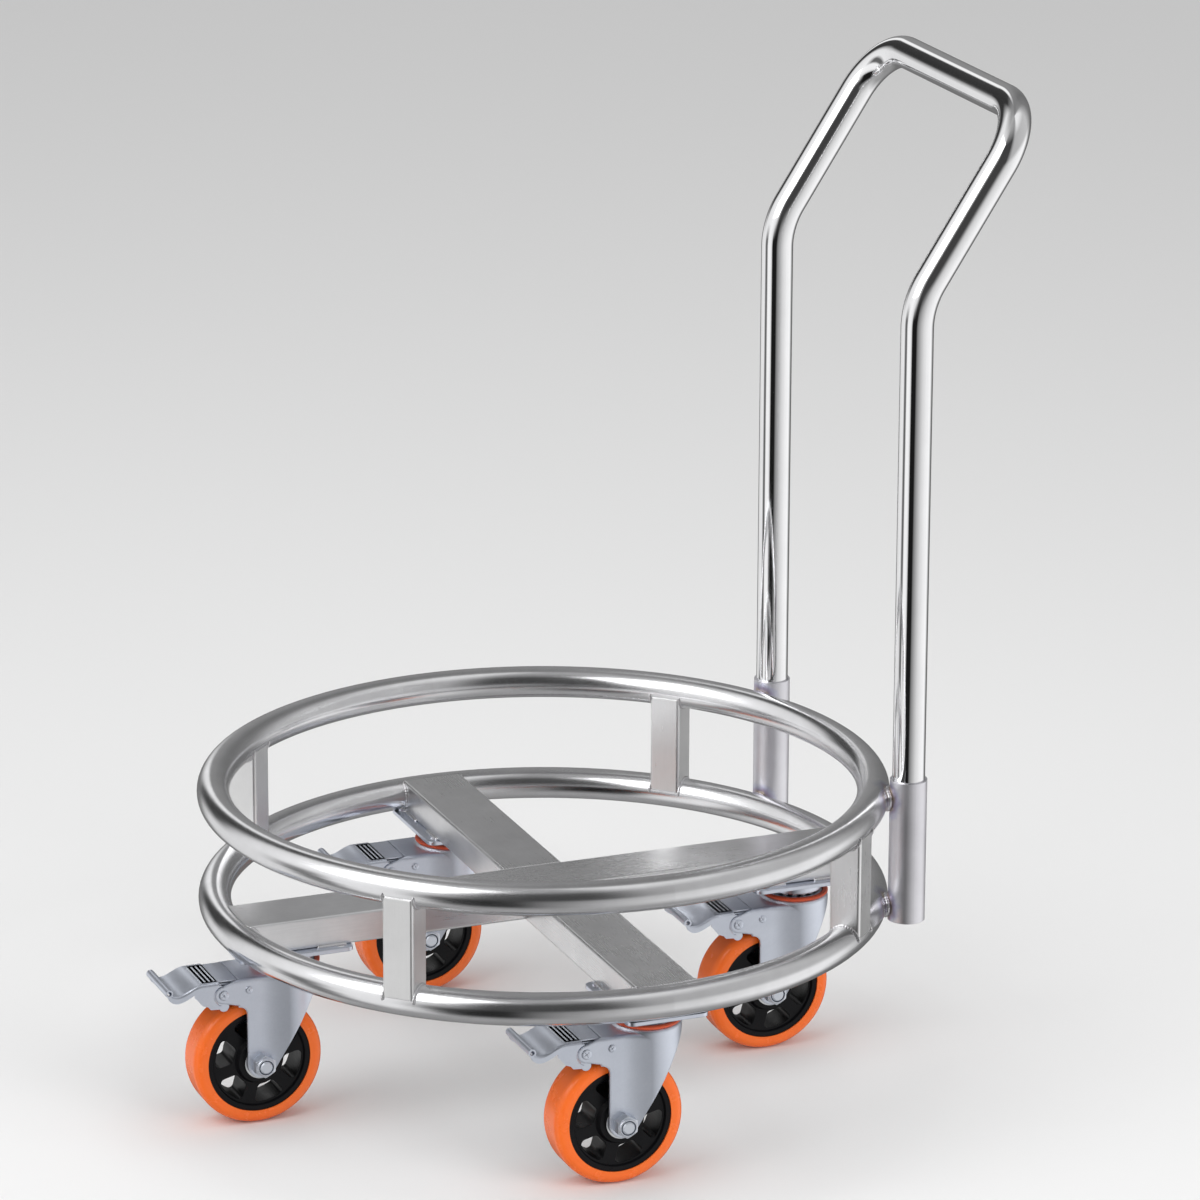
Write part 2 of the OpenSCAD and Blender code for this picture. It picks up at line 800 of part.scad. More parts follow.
module brake_pedal() {
    color(zinc_steel) at_pin() {
        across(2 * ear_x) translate([-flat_len, pedal_top - pedal_t])
            square([flat_len + pedal_back, pedal_t]);
        across(pedal_w) pedal_sheet(2 * rib_start / 3);
        both_sides(flange_x - pedal_t, flange_x) pedal_flange();
        both_sides(ear_x - ear_t, ear_x) pedal_ear();
        across(pedal_w) translate(face_point(pedal_reach - lip_r, pedal_t / 2)) circle(r = lip_r, $fn = 32);
        for (i = [0 : ribs - 1]) {
            translate([0, -rib_start - i * rib_gap, pedal_top - rib_h / 4]) along_x()
                cylinder(r = rib_h, h = pedal_w - 2 * rib_inset, center = true, $fn = 24);
        }
    }
}

// Steel cam between the pedal ears, which comes down on the tread
module brake_cam() {
    nose = polar(cam_reach - cam_r, cam_angle);
    side = polar(1, cam_angle + 90);
    color(zinc_steel) at_pin() difference() {
        union() {
            across(cam_w) circle(r = arm_r - 1);
            across(cam_w)
                polygon([side * cam_root, nose + side * cam_tip, nose - side * cam_tip, -side * cam_root]);
            across(cam_w) translate(nose) circle(r = cam_r);
        }
        across(cam_w + over) circle(d = pedal_pin_d + 2 * swivel_fit);
    }
}

// Kingpin places: front, rear, left and right, seen from behind the handle
CASTER_AT = [[0, -kingpin_r], [0, kingpin_r], [kingpin_r, 0], [-kingpin_r, 0]];
PLATE_TURN = [0, 0, 90, 90];
POST_ANGLE = [-post_angle, -180 + post_angle, post_angle, 180 - post_angle];

module place() {
    translate([0, -mid_y, 0]) children();
}

module at_caster(i) {
    place() translate([CASTER_AT[i].x, CASTER_AT[i].y, 0]) children();
}

module at_all_casters() {
    for (i = [0 : 3]) {
        at_caster(i) children();
    }
}

place() ring(high_z);  // top_ring
place() ring(low_z);  // bottom_ring
place() cross_bar(-bar_end, bar_end);  // long_cross_bar
place() rotate(-90) cross_bar(bar_w / 2, bar_end);  // left_cross_bar
place() rotate(90) cross_bar(bar_w / 2, bar_end);  // right_cross_bar
place() handle_socket(1);  // left_handle_socket
place() handle_socket(-1);  // right_handle_socket
place() socket_stops();
at_all_casters() kingpin();  // kingpins
at_all_casters() ball_set();  // swivel_balls
place() handle_tube();
for (i = [0 : 3]) {
    place() post(POST_ANGLE[i]);
    at_caster(i) caster_plate(PLATE_TURN[i]);
    at_caster(i) fork();
    at_caster(i) dust_ring();
    at_caster(i) axle_bolt();
    at_caster(i) axle_nut();
    at_caster(i) bearings();
    at_caster(i) hub();
    at_caster(i) tyre();
    at_caster(i) brake_pedal();
    at_caster(i) brake_cam();
    at_caster(i) fork_pins();
}
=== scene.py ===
# Round gas-cylinder trolley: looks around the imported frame, in metres.
import math

import bpy
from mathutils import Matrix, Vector


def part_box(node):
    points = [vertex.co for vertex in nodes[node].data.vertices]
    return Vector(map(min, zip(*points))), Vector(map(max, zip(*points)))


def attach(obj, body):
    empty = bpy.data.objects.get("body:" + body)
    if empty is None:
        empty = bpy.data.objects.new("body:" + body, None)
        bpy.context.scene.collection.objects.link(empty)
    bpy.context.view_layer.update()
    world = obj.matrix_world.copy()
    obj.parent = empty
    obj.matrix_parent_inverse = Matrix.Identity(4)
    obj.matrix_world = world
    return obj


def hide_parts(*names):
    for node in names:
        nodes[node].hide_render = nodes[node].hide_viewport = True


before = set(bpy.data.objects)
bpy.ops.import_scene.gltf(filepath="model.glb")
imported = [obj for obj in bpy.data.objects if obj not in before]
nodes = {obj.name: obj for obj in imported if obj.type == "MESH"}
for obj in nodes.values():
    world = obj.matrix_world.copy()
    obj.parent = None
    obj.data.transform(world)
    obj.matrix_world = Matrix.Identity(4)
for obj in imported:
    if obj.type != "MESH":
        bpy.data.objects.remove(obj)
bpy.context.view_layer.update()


# ---------------------------------------------------------------- places and sizes from the frame
def box_of(node):
    low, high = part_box(node)
    return Vector(low), Vector(high)


def middle_of(node):
    low, high = box_of(node)
    return (low + high) / 2


RING_MIDDLE = Vector((0, middle_of("bottom_ring").y, 0))
LOW_Z = middle_of("bottom_ring").z
HIGH_Z = middle_of("top_ring").z
TUBE_R = (box_of("top_ring")[1].z - box_of("top_ring")[0].z) / 2
RING_R = (box_of("top_ring")[1].x - box_of("top_ring")[0].x) / 2 - TUBE_R
BAR_HALF = (box_of("long_cross_bar")[1].x - box_of("long_cross_bar")[0].x) / 2
BAR_Z = middle_of("long_cross_bar").z
SOCKET = middle_of("left_handle_socket")
SOCKET_R = box_of("left_handle_socket")[1].y - SOCKET.y
PLATE_TOP = box_of("front_caster_plate")[1].z
CASTERS = ("front", "rear", "left", "right")
KINGPIN = {c: Vector((middle_of(c + "_caster_plate").x, middle_of(c + "_caster_plate").y, 0))
    for c in CASTERS}
AXLE = middle_of("front_tyre") - KINGPIN["front"]
NUT_FACE = box_of("front_axle_nut")[1].x - KINGPIN["front"].x
RIVET_FACE = box_of("front_fork_pins")[1].x - KINGPIN["front"].x
LEG_FACE = box_of("front_axle_nut")[0].x - KINGPIN["front"].x
DRUM_R = box_of("front_fork")[1].x - KINGPIN["front"].x
# Sizes that no box gives, as in the part's source
POST_HALF = 0.0125
ROOF_TOP = 0.1235
LEG_END_R = 0.0115
HANDLE_R, HANDLE_WALL = 0.0127, 0.0015
HANDLE_LEAN, KNEE_R, CORNER_R = math.radians(33), 0.066, 0.045

# ---------------------------------------------------------------- camera
cam_data = bpy.data.cameras.new("camera")
cam = bpy.data.objects.new("camera", cam_data)
bpy.context.collection.objects.link(cam)
bpy.context.scene.camera = cam
cam_data.sensor_width = 36
cam_data.lens = 186.69
cam_data.clip_end = 60
cam.location = RING_MIDDLE + Vector((4.2745, -1.6627, 1.8383))
cam.rotation_euler = [math.radians(a) for a in (72.5132, -0.1858, 68.2585)]
VIEW_AZIMUTH = math.radians(68.2)


# ---------------------------------------------------------------- node helpers
def link_value(tree, socket, value):
    """Sets a socket to a number or colour, or links another socket to it."""
    if isinstance(value, bpy.types.NodeSocket):
        tree.links.new(value, socket)
    else:
        socket.default_value = value


def math_node(tree, operation, a, b=0.0, clamp=False):
    n = tree.nodes.new("ShaderNodeMath")
    n.operation = operation
    n.use_clamp = clamp
    link_value(tree, n.inputs[0], a)
    link_value(tree, n.inputs[1], b)
    return n.outputs[0]


def ramp_node(tree, fac, stops):
    n = tree.nodes.new("ShaderNodeValToRGB")
    n.color_ramp.interpolation = "LINEAR"
    elements = n.color_ramp.elements
    elements.remove(elements[1])
    for i, (position, level) in enumerate(stops):
        e = elements[0] if i == 0 else elements.new(position)
        e.position = position
        e.color = level if isinstance(level, tuple) else (level, level, level, 1)
    tree.links.new(fac, n.inputs[0])
    return n.outputs[0]


def noise_node(tree, vector, scale, detail=3.0, roughness=0.5):
    n = tree.nodes.new("ShaderNodeTexNoise")
    n.inputs["Scale"].default_value = scale
    n.inputs["Detail"].default_value = detail
    n.inputs["Roughness"].default_value = roughness
    tree.links.new(vector, n.inputs["Vector"])
    return n.outputs["Fac"]


def object_coords(tree):
    return tree.nodes.new("ShaderNodeTexCoord").outputs["Object"]


def stretched(tree, vector, scale):
    """Coordinates scaled by axis, so that noise runs in lines along the axis with the small scale."""
    n = tree.nodes.new("ShaderNodeMapping")
    n.inputs["Scale"].default_value = scale
    tree.links.new(vector, n.inputs["Vector"])
    return n.outputs["Vector"]


def round_the_ring(tree):
    """Coordinates with the angle round the rings' axis first, for grain that follows the rings."""
    split = tree.nodes.new("ShaderNodeSeparateXYZ")
    tree.links.new(object_coords(tree), split.inputs[0])
    y = math_node(tree, "SUBTRACT", split.outputs[1], RING_MIDDLE.y)
    angle = math_node(tree, "ARCTAN2", y, split.outputs[0])
    radius = math_node(tree, "SQRT", math_node(tree, "ADD",
        math_node(tree, "MULTIPLY", split.outputs[0], split.outputs[0]),
        math_node(tree, "MULTIPLY", y, y)))
    turned = tree.nodes.new("ShaderNodeCombineXYZ")
    tree.links.new(math_node(tree, "MULTIPLY", angle, 0.26), turned.inputs[0])
    tree.links.new(radius, turned.inputs[1])
    tree.links.new(split.outputs[2], turned.inputs[2])
    return turned.outputs[0]


def new_material(name, metallic):
    m = bpy.data.materials.new(name)
    m.use_nodes = True
    shader = m.node_tree.nodes["Principled BSDF"]
    shader.inputs["Metallic"].default_value = metallic
    return m, m.node_tree, shader


def soft_edges(tree, radius):
    """Normal with edges rounded off by the radius, as pressed and moulded edges are."""
    n = tree.nodes.new("ShaderNodeBevel")
    n.samples = 4
    n.inputs["Radius"].default_value = radius
    return n.outputs[0]


def bump(tree, shader, heights, edge=0.0):
    """Chain of bumps on the shader. heights is a list of (socket, strength, distance)."""
    normal = soft_edges(tree, edge) if edge else None
    for height, strength, distance in heights:
        n = tree.nodes.new("ShaderNodeBump")
        n.inputs["Strength"].default_value = strength
        n.inputs["Distance"].default_value = distance
        tree.links.new(height, n.inputs["Height"])
        if normal is not None:
            tree.links.new(normal, n.inputs["Normal"])
        normal = n.outputs[0]
    if normal is not None:
        tree.links.new(normal, shader.inputs["Normal"])


def heat_tint(tree, colour, centres, reach):
    """Straw and violet heat marks round welds. Places are taken as mirrored left and right."""
    split = tree.nodes.new("ShaderNodeSeparateXYZ")
    tree.links.new(object_coords(tree), split.inputs[0])
    mirrored = tree.nodes.new("ShaderNodeCombineXYZ")
    tree.links.new(math_node(tree, "ABSOLUTE", split.outputs[0]), mirrored.inputs[0])
    tree.links.new(split.outputs[1], mirrored.inputs[1])
    tree.links.new(split.outputs[2], mirrored.inputs[2])
    flutter = noise_node(tree, object_coords(tree), 160, 3, 0.6)
    for centre in centres:
        away = tree.nodes.new("ShaderNodeVectorMath")
        away.operation = "DISTANCE"
        tree.links.new(mirrored.outputs[0], away.inputs[0])
        away.inputs[1].default_value = centre
        near = math_node(tree, "ADD", math_node(tree, "DIVIDE", away.outputs["Value"], reach),
            math_node(tree, "MULTIPLY", math_node(tree, "SUBTRACT", flutter, 0.5), 0.5))
        tint = ramp_node(tree, near, [(0.30, (0.80, 0.76, 0.70, 1)), (0.50, (0.74, 0.60, 0.42, 1)),
            (0.66, (0.58, 0.50, 0.66, 1)), (0.82, (0.78, 0.80, 0.92, 1)), (1.0, (1, 1, 1, 1))])
        mix = tree.nodes.new("ShaderNodeMix")
        mix.data_type = "RGBA"
        mix.blend_type = "MULTIPLY"
        mix.inputs["Factor"].default_value = 0.75
        tree.links.new(colour, mix.inputs["A"])
        tree.links.new(tint, mix.inputs["B"])
        colour = mix.outputs["Result"]
    return colour


def metal(name, dark, light, rough, rough_spread, grain=(300, 300, 300), grain_depth=0.0, edge=0.0004,
        ring=False, waves=0.03, heated=(), heat_reach=0.018):
    """Metal with brushed grain, faint blotches in its colour and smudges and scratches in its gloss."""
    m, tree, shader = new_material(name, 1.0)
    base = round_the_ring(tree) if ring else object_coords(tree)
    blotches = noise_node(tree, base, 26, 4, 0.6)
    smudges = noise_node(tree, base, 9, 5, 0.62)
    lines = noise_node(tree, stretched(tree, base, grain), 1.0, 4, 0.65)
    colour = ramp_node(tree, math_node(tree, "ADD",
        math_node(tree, "MULTIPLY", blotches, 0.7), math_node(tree, "MULTIPLY", lines, 0.3)),
        [(0.3, dark + (1,)), (0.7, light + (1,))])
    tree.links.new(heat_tint(tree, colour, heated, heat_reach), shader.inputs["Base Color"])
    spread = math_node(tree, "ADD", math_node(tree, "MULTIPLY", smudges, 0.6),
        math_node(tree, "MULTIPLY", lines, 0.4))
    tree.links.new(ramp_node(tree, spread, [(0.32, rough), (0.68, rough + rough_spread)]),
        shader.inputs["Roughness"])
    fine = noise_node(tree, stretched(tree, base, (90, 90, 90)), 1.0, 2, 0.5)
    bump(tree, shader, [(lines, grain_depth, 0.0002), (fine, waves, 0.0004)], edge)
    return m


# ---------------------------------------------------------------- materials
SOCKET_SIDE = Vector((abs(SOCKET.x), SOCKET.y - RING_MIDDLE.y, 0)).normalized()
SOCKET_WELDS = [RING_MIDDLE + SOCKET_SIDE * (RING_R + TUBE_R) + Vector((0, 0, z)) for z in (LOW_Z, HIGH_Z)]
tube_steel = metal("ring_tube_steel", (0.76, 0.76, 0.77), (0.88, 0.88, 0.90), 0.16, 0.10,
    grain=(30, 2600, 2600), grain_depth=0.06, ring=True, waves=0.015, heated=SOCKET_WELDS)
bar_steel = metal("box_tube_steel", (0.84, 0.84, 0.84), (0.95, 0.95, 0.95), 0.26, 0.12,
    grain=(900, 900, 40), grain_depth=0.12, edge=0.0012)
long_bar_steel, side_bar_steel = [metal(name, (0.74, 0.74, 0.75), (0.90, 0.90, 0.91), 0.24, 0.12,
    grain=grain, grain_depth=0.12, edge=0.0012)
    for name, grain in (("long_bar_steel", (900, 40, 900)), ("side_bar_steel", (40, 900, 900)))]
socket_steel = metal("socket_steel", (0.80, 0.79, 0.83), (0.92, 0.91, 0.95), 0.40, 0.10,
    grain=(1600, 1600, 30), grain_depth=0.10, edge=0.0005, heated=SOCKET_WELDS)
polished_tube = metal("polished_handle_steel", (0.90, 0.90, 0.91), (0.97, 0.97, 0.98), 0.05, 0.05,
    grain=(900, 900, 20), grain_depth=0.01, edge=0.0, waves=0.004)
zinc = metal("bright_zinc", (0.68, 0.72, 0.81), (0.80, 0.84, 0.93), 0.28, 0.10,
    grain=(420, 420, 420), grain_depth=0.008, edge=0.0009, waves=0.006)
# The forks' edges are rounded by the shader. The pieces whose bends are in their mesh have none
PRESSED = {"grain": (420, 420, 420), "grain_depth": 0.015, "waves": 0.012}
SHEET_TONES = ((0.69, 0.73, 0.82), (0.80, 0.84, 0.93))
sheet_zinc = metal("pressed_zinc_sheet", *SHEET_TONES, 0.36, 0.10, edge=0.0020, **PRESSED)
cheek_zinc = metal("pressed_zinc_run_out", *SHEET_TONES, 0.36, 0.10, edge=0.0, **PRESSED)
# Ribs pressed in the pedal's own sheet, but painted lighter than SHEET_TONES: the lighter tone is painted
# light that keeps the small ribs from going dark
rib_painted_light_zinc = metal("pedal_rib_zinc", (0.80, 0.84, 0.92), (0.90, 0.94, 0.99), 0.55, 0.08, edge=0.0, **PRESSED)
# Zinc of the axle nuts and bolts, painted lighter than the other zinc parts: the lighter tone is a painted
# highlight on the nuts' facets
nut_painted_highlight_zinc = metal("nut_painted_highlight_zinc", (0.76, 0.80, 0.88), (0.88, 0.92, 0.98), 0.42, 0.10,
    grain=(600, 600, 600), grain_depth=0.02, edge=0.0004, waves=0.012)
bearing_steel = metal("bearing_steel", (0.58, 0.59, 0.60), (0.72, 0.73, 0.74), 0.16, 0.10, edge=0.0003)


def plastic(name, dark, light, rough, rough_spread, grain_scale, grain_depth, edge=0.0006, specular=0.5,
        subsurface=0.0):
    """Moulded plastic or rubber with a faint skin, worn patches and smudges in its gloss."""
    m, tree, shader = new_material(name, 0.0)
    base = object_coords(tree)
    tone = noise_node(tree, base, 18, 5, 0.6)
    tree.links.new(ramp_node(tree, tone, [(0.3, dark + (1,)), (0.7, light + (1,))]),
        shader.inputs["Base Color"])
    wear = noise_node(tree, base, 60, 6, 0.7)
    tree.links.new(ramp_node(tree, wear, [(0.35, rough), (0.7, rough + rough_spread)]),
        shader.inputs["Roughness"])
    skin = noise_node(tree, base, grain_scale, 3, 0.6)
    shader.inputs["Specular IOR Level"].default_value = specular
    if subsurface:
        shader.inputs["Subsurface Weight"].default_value = subsurface
        shader.inputs["Subsurface Radius"].default_value = (0.004, 0.0015, 0.0008)
        shader.inputs["Subsurface Scale"].default_value = 1.0
    bump(tree, shader, [(skin, grain_depth, 0.0002), (wear, 0.05, 0.0004)], edge)
    return m


orange_seal = plastic("orange_dust_ring", (0.62, 0.07, 0.02), (0.78, 0.12, 0.04), 0.38, 0.15, 900, 0.15)
black_core = plastic("black_wheel_core", (0.003, 0.003, 0.004), (0.007, 0.007, 0.008), 0.26, 0.16, 1400,
    0.12, specular=0.16)
orange_tyre = plastic("orange_tyre", (0.95, 0.158, 0.015), (1.0, 0.185, 0.024), 0.24, 0.05, 700, 0.06,
    specular=0.45, subsurface=0.12)

NODE_MATERIALS = {
    "top_ring": tube_steel, "bottom_ring": tube_steel, "long_cross_bar": long_bar_steel,
    "left_cross_bar": side_bar_steel, "right_cross_bar": side_bar_steel,
    "left_handle_socket": socket_steel, "right_handle_socket": socket_steel,
    "socket_stops": socket_steel, "kingpins": zinc, "swivel_balls": bearing_steel,
    "handle_tube": polished_tube,
}
ENDINGS = {
    "_post": bar_steel, "_caster_plate": zinc, "_fork": sheet_zinc, "_dust_ring": orange_seal,
    "_axle_bolt": nut_painted_highlight_zinc, "_axle_nut": nut_painted_highlight_zinc, "_bearings": bearing_steel, "_hub": black_core,
    "_tyre": orange_tyre, "_brake_pedal": zinc, "_brake_cam": zinc, "_fork_pins": zinc,
}
for name, node in nodes.items():
    material = NODE_MATERIALS.get(name)
    for ending, candidate in ENDINGS.items():
        if material is None and name.endswith(ending):
            material = candidate
    for slot in node.material_slots:
        slot.material = material


# ---------------------------------------------------------------- detail pieces
def mesh_piece(name, verts, faces, material, body, slot, smooth=True):
    """Piece of the visual model from vertices and faces, riding on a body."""
    mesh = bpy.data.meshes.new(name)
    mesh.from_pydata([tuple(v) for v in verts], [], faces)
    mesh.materials.append(material)
    mesh.validate()
    if smooth:
        mesh.shade_smooth()
    piece = bpy.data.objects.new(name, mesh)
    bpy.context.collection.objects.link(piece)
    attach(piece, body)
    return piece


def tube_along(points, radius, sides, capped=True):
    """Tube of vertices and faces along the points. radius is a function of the index."""
    verts, faces = [], []
    n = len(points)
    up = None
    for i, p in enumerate(points):
        ahead = (points[min(i + 1, n - 1)] - points[max(i - 1, 0)]).normalized()
        if up is None:
            up = ahead.orthogonal().normalized()
        up = (up - ahead * up.dot(ahead)).normalized()
        side = ahead.cross(up)
        for k in range(sides):
            a = 2 * math.pi * k / sides
            verts.append(p + radius(i) * (math.cos(a) * up + math.sin(a) * side))
    for i in range(n - 1):
        for k in range(sides):
            a, b = i * sides + k, i * sides + (k + 1) % sides
            faces.append((a, b, b + sides, a + sides))
    if capped:
        faces.append(tuple(reversed(range(sides))))
        faces.append(tuple(range((n - 1) * sides, n * sides)))
    return verts, faces


def weld_bead(points, radius, pitch=0.0022):
    """Weld bead along a line of points: overlapping puddles a pitch apart, thinner at both ends."""
    length = [0.0]
    for a, b in zip(points, points[1:]):
        length.append(length[-1] + (b - a).length)
    steps = max(8, int(length[-1] / pitch * 5))
    line, j = [], 0
    for i in range(steps + 1):
        at = length[-1] * i / steps
        while j < len(length) - 2 and length[j + 1] < at:
            j += 1
        t = (at - length[j]) / max(length[j + 1] - length[j], 1e-9)
        line.append(points[j].lerp(points[j + 1], t))

    def swell(i):
        at = length[-1] * i / steps
        puddle = 0.86 + 0.14 * abs(math.sin(math.pi * at / pitch))
        ends = math.sqrt(min(1, (min(i, steps - i) + 0.6) / 4))
        return radius * puddle * ends

    return tube_along(line, swell, 8)


def join(parts):
    """One list of vertices and one of faces from several."""
    verts, faces = [], []
    for v, f in parts:
        start = len(verts)
        verts += v
        faces += [tuple(i + start for i in face) for face in f]
    return verts, faces


def spoke(degrees):
    """Direction outwards from the rings' axis at an angle, and the direction along the rings there."""
    a = math.radians(degrees)
    return Vector((math.cos(a), math.sin(a), 0)), Vector((-math.sin(a), math.cos(a), 0))


# Radii of the beads, and how far their middle lines stand off the tubes
THIN_BEAD, BAR_BEAD, SOCKET_BEAD = 0.0013, 0.0014, 0.0022
BEAD_LIFT, STITCH_LIFT, BAR_END_LIFT = 0.0003, 0.0004, 0.0002
# Half lengths of the beads at the bars' ends and at their middle, and half sizes of the loop at a socket
BAR_BEAD_HALF, MIDDLE_BEAD_HALF = 0.0118, 0.011
SOCKET_LOOP = (0.0092, 0.0078)
# Length of a plate's stitch beads, and where they start from the plate's middle, inwards of the kingpin
STITCH, STITCH_STARTS, PLATE_SHIFT = 0.024, (-0.036, 0.012), 0.006
QUARTERS = (0, 90, 180, 270)


def post_welds():
    """Beads where the four posts stand on the rings: over the tube on both sides of each post."""
    parts = []
    for corner in (45, 135, 225, 315):
        out, along = spoke(corner)
        for ring_z, up in ((LOW_Z, 1), (HIGH_Z, -1)):
            for side in (-1, 1):
                line = []
                for i in range(13):
                    t = math.radians(-84 + 14 * i)
                    p = (RING_MIDDLE + out * (RING_R + (TUBE_R + BEAD_LIFT) * math.sin(t))
                        + along * side * (POST_HALF + BEAD_LIFT))
                    p.z = ring_z + up * (TUBE_R + BEAD_LIFT) * math.cos(t)
                    line.append(p)
                parts.append(weld_bead(line, THIN_BEAD))
    return join(parts)


def bar_welds():
    """Beads down both sides of each cross bar's end, where it is coped to the lower ring."""
    parts = []
    for turn in QUARTERS:
        out, along = spoke(turn)
        for side in (-1, 1):
            line = []
            for i in range(13):
                z = -BAR_BEAD_HALF + 2 * BAR_BEAD_HALF * i / 12
                inner = RING_R - math.sqrt(TUBE_R ** 2 - z ** 2)
                reach = math.sqrt(inner ** 2 - BAR_HALF ** 2)
                p = RING_MIDDLE + out * (reach - STITCH_LIFT) + along * side * (BAR_HALF + BAR_END_LIFT)
                p.z = BAR_Z + z
                line.append(p)
            parts.append(weld_bead(line, BAR_BEAD))
    return join(parts)


def middle_welds():
    """Beads where the two short bars butt against the long bar."""
    parts = []
    for side in (-1, 1):
        for edge in (-1, 1):
            foot = RING_MIDDLE + Vector((side * (BAR_HALF + STITCH_LIFT), edge * BAR_HALF, 0))
            line = [foot + Vector((0, 0, BAR_Z + z)) for z in (-MIDDLE_BEAD_HALF, MIDDLE_BEAD_HALF)]
            parts.append(weld_bead(line, THIN_BEAD))
    return join(parts)


def plate_welds():
    """Short stitch beads that hold each caster plate under its bar."""
    parts = []
    for turn in QUARTERS:
        out, along = spoke(turn)
        for side in (-1, 1):
            for start in STITCH_STARTS:
                line = []
                for i in range(5):
                    p = (RING_MIDDLE + out * (KINGPIN["left"].x - PLATE_SHIFT + start + STITCH * i / 4)
                        + along * side * (BAR_HALF + STITCH_LIFT))
                    p.z = PLATE_TOP + STITCH_LIFT
                    line.append(p)
                parts.append(weld_bead(line, BAR_BEAD))
    return join(parts)


def socket_welds():
    """Fillet beads in a loop round each place where a socket touches a ring."""
    parts = []
    for mirrored in (1, -1):
        out = Vector((mirrored * SOCKET_SIDE.x, SOCKET_SIDE.y, 0))
        along = Vector((-out.y, out.x, 0))
        for ring_z in (LOW_Z, HIGH_Z):
            line = []
            for i in range(33):
                t = 2 * math.pi * i / 32
                u, w = SOCKET_LOOP[0] * math.cos(t), SOCKET_LOOP[1] * math.sin(t)
                ring_face = TUBE_R - math.sqrt(TUBE_R ** 2 - w ** 2) + u ** 2 / (2 * (RING_R + TUBE_R))
                socket_face = SOCKET_R - math.sqrt(SOCKET_R ** 2 - u ** 2)
                p = (RING_MIDDLE + out * (RING_R + TUBE_R + (socket_face - ring_face) / 2) + along * u)
                p.z = ring_z + w
                line.append(p)
            parts.append(weld_bead(line, SOCKET_BEAD, pitch=0.0028))
    return join(parts)


def handle_line():
    """Middle line of the bent handle tube, from the foot of one leg over the grip to the other foot."""
    low, high = box_of("handle_tube")
    leg_x, leg_y = high.x - HANDLE_R, low.y + HANDLE_R
    lean_len = (high.y - HANDLE_R - leg_y) / math.sin(HANDLE_LEAN)
    knee_z = high.z - HANDLE_R - lean_len * math.cos(HANDLE_LEAN)
    bend_z = knee_z - KNEE_R * math.tan(HANDLE_LEAN / 2)
    leaning = Vector((0, math.sin(HANDLE_LEAN), math.cos(HANDLE_LEAN)))
    knee = Vector((leg_x, leg_y, knee_z))
    half = [Vector((leg_x, leg_y, low.z)), Vector((leg_x, leg_y, bend_z))]
    for i in range(1, 25):
        a = HANDLE_LEAN * i / 24
        half.append(Vector((leg_x, leg_y + KNEE_R * (1 - math.cos(a)), bend_z + KNEE_R * math.sin(a))))
    half.append(knee + leaning * (lean_len - CORNER_R))
    for i in range(1, 49):
        a = math.pi / 2 * i / 48
        half.append(knee + leaning * (lean_len - CORNER_R * (1 - math.sin(a)))
            - Vector((CORNER_R * (1 - math.cos(a)), 0, 0)))
    return half + [Vector((-p.x, p.y, p.z)) for p in reversed(half)]


def handle_sweep(sides=64):
    """Open tube along the handle's middle line, with its wall at both feet."""
    line = handle_line()
    verts, faces = tube_along(line, lambda i: HANDLE_R, sides, capped=False)
    inner_verts, inner_faces = tube_along(line, lambda i: HANDLE_R - HANDLE_WALL, sides, capped=False)
    count = len(verts)
    verts += inner_verts
    faces += [tuple(reversed([i + count for i in f])) for f in inner_faces]
    for start in (0, count - sides):
        for k in range(sides):
            a, b = start + k, start + (k + 1) % sides
            face = (a, b, b + count, a + count)
            faces.append(tuple(reversed(face)) if start == 0 else face)
    return verts, faces


handle = mesh_piece("bent_handle", *handle_sweep(), polished_tube, "handle", "polished_tube")
handle.data.set_sharp_from_angle(angle=math.radians(40))
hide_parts("handle_tube")

weld_steel = metal("weld_steel", (0.66, 0.65, 0.66), (0.90, 0.90, 0.92), 0.22, 0.16,
    grain=(700, 700, 700), grain_depth=0.2, edge=0.0)
mesh_piece("post_weld_beads", *post_welds(), weld_steel, "frame", "bar_steel")
mesh_piece("bar_end_weld_beads", *bar_welds(), weld_steel, "frame", "bar_steel")
mesh_piece("bar_cross_weld_beads", *middle_welds(), weld_steel, "frame", "bar_steel")
mesh_piece("plate_weld_beads", *plate_welds(), weld_steel, "frame", "bar_steel")
mesh_piece("socket_weld_beads", *socket_welds(), weld_steel, "frame", "socket_steel")


# ---------------------------------------------------------------- casters
# Their details are drawn for a kingpin at the origin with the wheel towards -Y
PEDAL_PIN = Vector((0, -0.0575, 0.1125))
STOP_PIN = PEDAL_PIN + Vector((0, 0.0205, 0.002))
# Each rivet of the fork with the reach of the cross staked into its head
PINS = ((PEDAL_PIN, 0.0028), (STOP_PIN, 0.0019))


def at_caster(caster, part):
    return [v + KINGPIN[caster] for v in part[0]], part[1]


def at_pin(caster, part):
    return [v + KINGPIN[caster] + PEDAL_PIN for v in part[0]], part[1]


# Profiles of the axle nut's raised collar and nylon ring: (distance out from the nut's face, radius)
NUT_COLLAR = ((-0.0004, 0.0056), (-0.0004, 0.0074), (0.0008, 0.0073), (0.0015, 0.0069), (0.0018, 0.0063),
    (0.0016, 0.0059), (0.0008, 0.0058))
NUT_INSERT = ((-0.0004, 0.0049), (-0.0004, 0.0059), (0.0012, 0.0059), (0.0014, 0.0055), (0.0012, 0.0050))


def turned_profile(profile, steps=48):
    """Closed ring from a closed profile on the nut's face, turned about the axle line."""
    verts, faces = [], []
    n = len(profile)
    for i in range(steps):
        a = 2 * math.pi * i / steps
        for x, r in profile:
            verts.append(AXLE + Vector((NUT_FACE + x, r * math.cos(a), r * math.sin(a))))
    for i in range(steps):
        j = (i + 1) % steps
        for k in range(n):
            m = (k + 1) % n
            faces.append((i * n + k, i * n + m, j * n + m, j * n + k))
    return verts, faces


